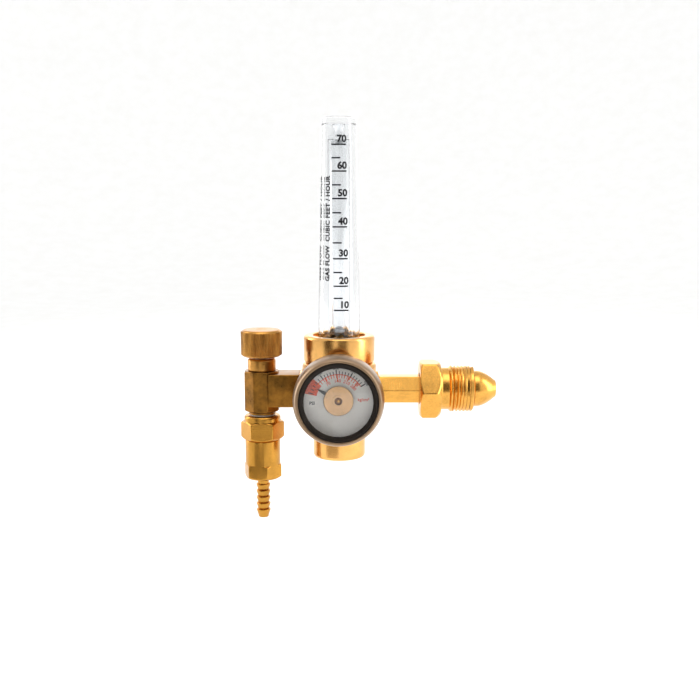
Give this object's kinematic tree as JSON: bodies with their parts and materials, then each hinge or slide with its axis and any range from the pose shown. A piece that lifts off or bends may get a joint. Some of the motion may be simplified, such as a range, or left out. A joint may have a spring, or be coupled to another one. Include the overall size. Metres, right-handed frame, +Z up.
{
  "type": "gas regulator",
  "caption": "Preset brass gas regulator with a dial gauge, a clear flow tube with a float ball, a needle valve and a hose barb.",
  "frame": {"origin": "on the inlet axis, at the back face of the inlet nipple's nose", "axes": "+X along the inlet, towards the cylinder valve; +Z up the flow tube; the gauge faces -Y"},
  "size_m": [0.1348, 0.0655, 0.2104],
  "materials": {
    "brass_polished": "turned and polished",
    "brass_valve": "turned, slightly darkened",
    "brass_fitting": "turned, satin",
    "brass_inner": "machined",
    "brass_hub": "turned in fine rings",
    "spring_steel": "drawn wire",
    "stainless_steel": "turned",
    "gauge_steel": "spun, bronze tinted",
    "black_ring": "moulded black",
    "pointer_paint": "matt black paint",
    "dial_face": "printed matt grey",
    "lens_clear": "clear",
    "cover_clear": "clear moulded plastic",
    "meter_clear": "clear, polished bore",
    "black_rubber": "moulded",
    "white_washer": "cut sheet",
    "sintered_filter": "sintered"
  },
  "bodies": {
    "root": {"regulator_body": "brass_polished", "bottom_cap": "brass_polished", "tube_collar": "brass_polished", "valve_body": "brass_valve", "valve_bonnet": "brass_valve", "inlet_nipple": "brass_fitting", "outlet_adapter": "brass_fitting", "outlet_nut": "brass_fitting", "hose_barb": "brass_fitting", "seat_nozzle": "brass_inner", "slip_ring": "brass_inner", "ball_rest": "brass_inner", "movement_plates": "brass_inner", "bourdon_tube": "brass_inner", "gauge_socket": "brass_inner", "relief_valve_body": "brass_inner", "main_spring": "spring_steel", "poppet_spring": "spring_steel", "relief_spring": "spring_steel", "setting_screw": "stainless_steel", "spring_seat": "stainless_steel", "dial_screws": "stainless_steel", "gauge_case": "gauge_steel", "gauge_bezel": "gauge_steel", "gauge_ring": "black_ring", "gauge_dial": "dial_face", "gauge_lens": "lens_clear", "flow_cover": "cover_clear", "metering_tube": "meter_clear", "top_stop": "meter_clear", "diaphragm": "black_rubber", "cover_oring": "black_rubber", "tube_oring": "black_rubber", "stem_oring": "black_rubber", "outlet_washer": "white_washer", "inlet_filter": "sintered_filter"},
    "poppet": {"poppet": "stainless_steel"},
    "diaphragm_centre": {"diaphragm_plate": "stainless_steel"},
    "relief_disc": {"relief_disc": "stainless_steel"},
    "needle": {"needle_stem": "stainless_steel"},
    "knob": {"valve_knob": "brass_valve", "knob_setscrew": "stainless_steel"},
    "float": {"float_ball": "stainless_steel"},
    "pointer": {"gauge_pointer": "pointer_paint", "pointer_hub": "brass_hub", "pointer_arbor": "brass_inner"},
    "sector": {"sector_gear": "brass_inner"},
    "inlet_nut": {"inlet_nut": "brass_fitting"}
  },
  "joints": [
    {"name": "knob_turn", "type": "hinge", "parent": "needle", "child": "knob", "pos_m": [-0.1114, 0, 0.018], "axis": [0, 0, 1], "range_deg": [0, 720]},
    {"name": "needle_lift", "type": "slide", "parent": "root", "child": "needle", "axis": [0, 0, 1], "range_m": [0, 0.0016]},
    {"name": "float_rise", "type": "slide", "parent": "root", "child": "float", "axis": [0, 0, 1], "range_m": [0, 0.093]},
    {"name": "pointer_turn", "type": "hinge", "parent": "root", "child": "pointer", "pos_m": [-0.0706, 0, 0], "axis": [0, 1, 0], "range_deg": [-15.5, 118.5], "stiffness_Nm_per_rad": 0.0002},
    {"name": "sector_turn", "type": "hinge", "parent": "root", "child": "sector", "pos_m": [-0.0706, 0, -0.0105], "axis": [0, 1, 0], "range_deg": [-19.75, 2.58]},
    {"name": "poppet_lift", "type": "slide", "parent": "root", "child": "poppet", "axis": [0, 0, 1], "range_m": [0, 0.0006], "stiffness_N_per_m": 600, "deforming": ["poppet_spring"]},
    {"name": "diaphragm_lift", "type": "slide", "parent": "root", "child": "diaphragm_centre", "axis": [0, 0, 1], "range_m": [0, 0.0006], "deforming": ["main_spring", "diaphragm"]},
    {"name": "relief_open", "type": "slide", "parent": "root", "child": "relief_disc", "axis": [0, 1, 0], "range_m": [0, 0.001], "stiffness_N_per_m": 500, "deforming": ["relief_spring"]},
    {"name": "inlet_nut_turn", "type": "hinge", "parent": "root", "child": "inlet_nut", "pos_m": [-0.006, 0, 0], "axis": [1, 0, 0], "continuous": true}
  ],
  "couplings": [
    {"joint": "knob_turn", "follows": "needle_lift", "rad_per_m": 7854},
    {"joint": "pointer_turn", "follows": "sector_turn", "ratio": -6},
    {"joint": "diaphragm_lift", "follows": "poppet_lift", "ratio": 1}
  ]
}
